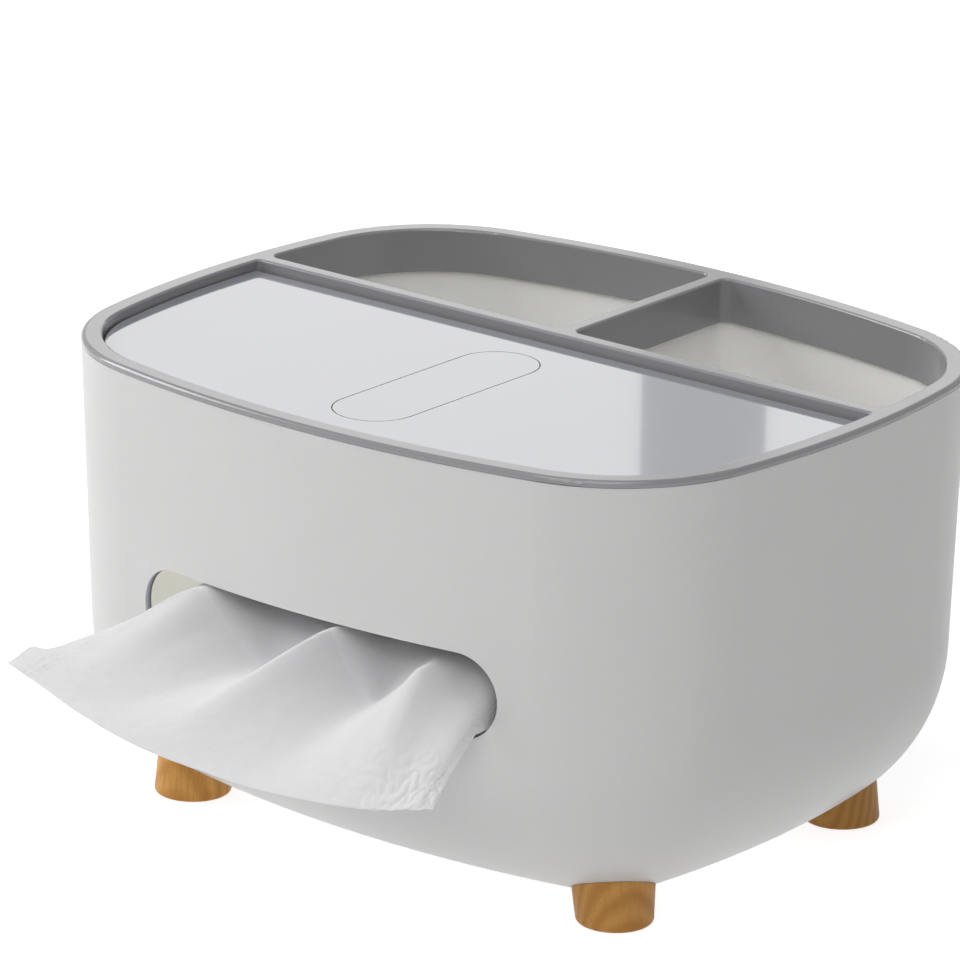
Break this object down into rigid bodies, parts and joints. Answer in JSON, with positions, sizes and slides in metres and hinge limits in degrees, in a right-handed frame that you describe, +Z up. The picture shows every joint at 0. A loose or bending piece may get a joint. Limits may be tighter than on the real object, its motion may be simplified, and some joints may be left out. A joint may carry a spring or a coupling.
{
  "type": "tissue box organizer",
  "caption": "Rounded desktop tissue box on splayed wooden feet, with a front tissue slot, a hinged lid with a flip-up phone rest and open storage cells behind.",
  "frame": {"origin": "on the table plane, midway between the four feet and below the middle of the tub", "axes": "+Z up, +X to the right along the tub's length, -Y to the front, where the tissue slot is"},
  "size_m": [0.24, 0.2336, 0.141],
  "materials": {
    "white_plastic": "satin",
    "grey_plastic": "satin",
    "ivory_plastic": "satin",
    "gloss_plastic": "gloss",
    "beech": "satin",
    "steel": "satin",
    "tissue": "matte"
  },
  "bodies": {
    "base": {"body_shell": "white_plastic", "top_frame": "grey_plastic", "storage_tray": "ivory_plastic", "foot_front_left": "beech", "foot_front_right": "beech", "foot_rear_left": "beech", "foot_rear_right": "beech", "foot_screws": "steel", "foot_washers": "steel", "tissue_stack": "tissue"},
    "lid": {"front_lid": "gloss_plastic", "lid_hinge_pin_left": "steel", "lid_hinge_pin_right": "steel", "phone_rest_pin": "steel"},
    "rest": {"phone_rest": "gloss_plastic"},
    "tissue": {"tissue_sheet": "tissue"}
  },
  "joints": [
    {"name": "lid_hinge", "type": "hinge", "parent": "base", "child": "lid", "pos_m": [0, 0.0131, 0.1365], "axis": [-1, 0, 0], "range_deg": [0, 96]},
    {"name": "phone_rest_hinge", "type": "hinge", "parent": "lid", "child": "rest", "pos_m": [0, -0.0641, 0.1365], "axis": [1, 0, 0], "range_deg": [0, 75]},
    {"name": "tissue_pull", "type": "slide", "parent": "base", "child": "tissue", "axis": [0, -1, 0], "range_m": [0, 0.05]}
  ]
}
